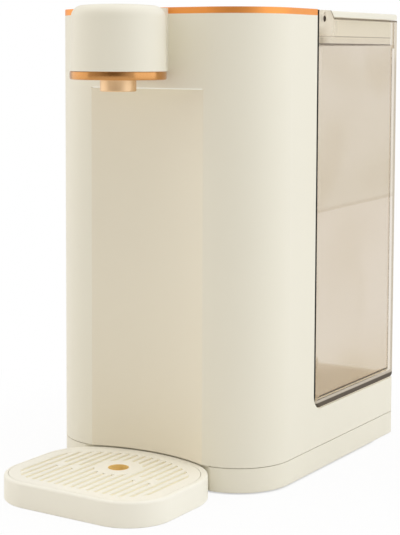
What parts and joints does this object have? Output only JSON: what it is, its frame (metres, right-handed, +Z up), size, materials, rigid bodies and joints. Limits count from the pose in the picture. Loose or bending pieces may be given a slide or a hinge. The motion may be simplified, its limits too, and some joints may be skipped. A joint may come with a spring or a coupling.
{
  "type": "hot water dispenser",
  "caption": "Countertop hot water dispenser with a spout head over a cup bay, a lift-off tinted tank with a hinged lid, and a pull-out drip tray with a slotted grille.",
  "frame": {"origin": "on the table, under the middle of the whole outline with the drip tray in place", "axes": "+Z up, -Y the front with the spout and the drip tray, +X the right side seen from the front"},
  "size_m": [0.16, 0.2706, 0.2913],
  "materials": {
    "shell": "satin cream moulding",
    "copper_trim": "polished, copper coloured",
    "tinted_tank": "clear brown tint",
    "panel_glass": "back-painted glass",
    "rubber": "matte",
    "seal_silicone": "soft matte silicone",
    "hose_silicone": "soft silicone",
    "steel": "plain",
    "inner_plastic": "natural moulding",
    "board": "solder mask",
    "board_metal": "plated"
  },
  "bodies": {
    "body": {"base_tray": "shell", "rubber_feet": "rubber", "base_screws": "steel", "front_housing": "shell", "bay_panel": "shell", "rear_skirts": "shell", "rear_panel": "shell", "cord_gland": "rubber", "gland_nut": "inner_plastic", "tank_bay_liner": "shell", "liner_screws": "steel", "top_cover": "shell", "top_trim_band": "copper_trim", "control_panel": "panel_glass", "control_board": "board", "touch_pads": "board_metal", "spout_housing": "shell", "spout_screws": "steel", "spout_trim_ring": "copper_trim", "spout_bottom_plate": "shell", "outlet_nozzle": "copper_trim", "nozzle_insert": "inner_plastic", "outlet_chamber": "inner_plastic", "heater_tube": "steel", "heater_end_caps": "inner_plastic", "heater_clamps": "steel", "thermal_cutouts": "inner_plastic", "temperature_probe": "steel", "power_board": "board", "pump_motor": "steel", "pump_head": "inner_plastic", "pump_cradle": "inner_plastic", "valve_socket": "inner_plastic", "socket_seal": "seal_silicone", "hose_tank_to_pump": "hose_silicone", "hose_pump_to_heater": "hose_silicone", "hose_heater_to_spout": "hose_silicone"},
    "pump_rotor": {"pump_rotor": "steel"},
    "tank": {"water_tank": "tinted_tank", "tank_valve_body": "inner_plastic", "tank_filter": "inner_plastic", "lid_hinge_pins": "steel", "valve_spring": "steel"},
    "lid": {"tank_lid": "shell", "lid_seal": "seal_silicone"},
    "valve_poppet": {"valve_poppet": "inner_plastic"},
    "tray": {"drip_tray": "shell"},
    "grille": {"tray_grille": "shell"}
  },
  "joints": [
    {"name": "tank_lift", "type": "slide", "parent": "body", "child": "tank", "axis": [0, 0, 1], "range_m": [0, 0.26]},
    {"name": "lid_hinge", "type": "hinge", "parent": "tank", "child": "lid", "pos_m": [0, 0.02815, 0.2844], "axis": [1, 0, 0], "range_deg": [0, 95]},
    {"name": "valve_poppet_slide", "type": "slide", "parent": "tank", "child": "valve_poppet", "axis": [0, 0, 1], "range_m": [0, 0.0015], "stiffness_N_per_m": 80, "springref_m": -0.004, "deforming": ["valve_spring"]},
    {"name": "tray_pull", "type": "slide", "parent": "body", "child": "tray", "axis": [0, -1, 0], "range_m": [0, 0.1]},
    {"name": "grille_lift", "type": "slide", "parent": "tray", "child": "grille", "axis": [0, 0, 1], "range_m": [0, 0.04]},
    {"name": "pump_rotor_spin", "type": "hinge", "parent": "body", "child": "pump_rotor", "pos_m": [-0.04, 0.08725, 0.0186], "axis": [0, 1, 0], "continuous": true}
  ]
}
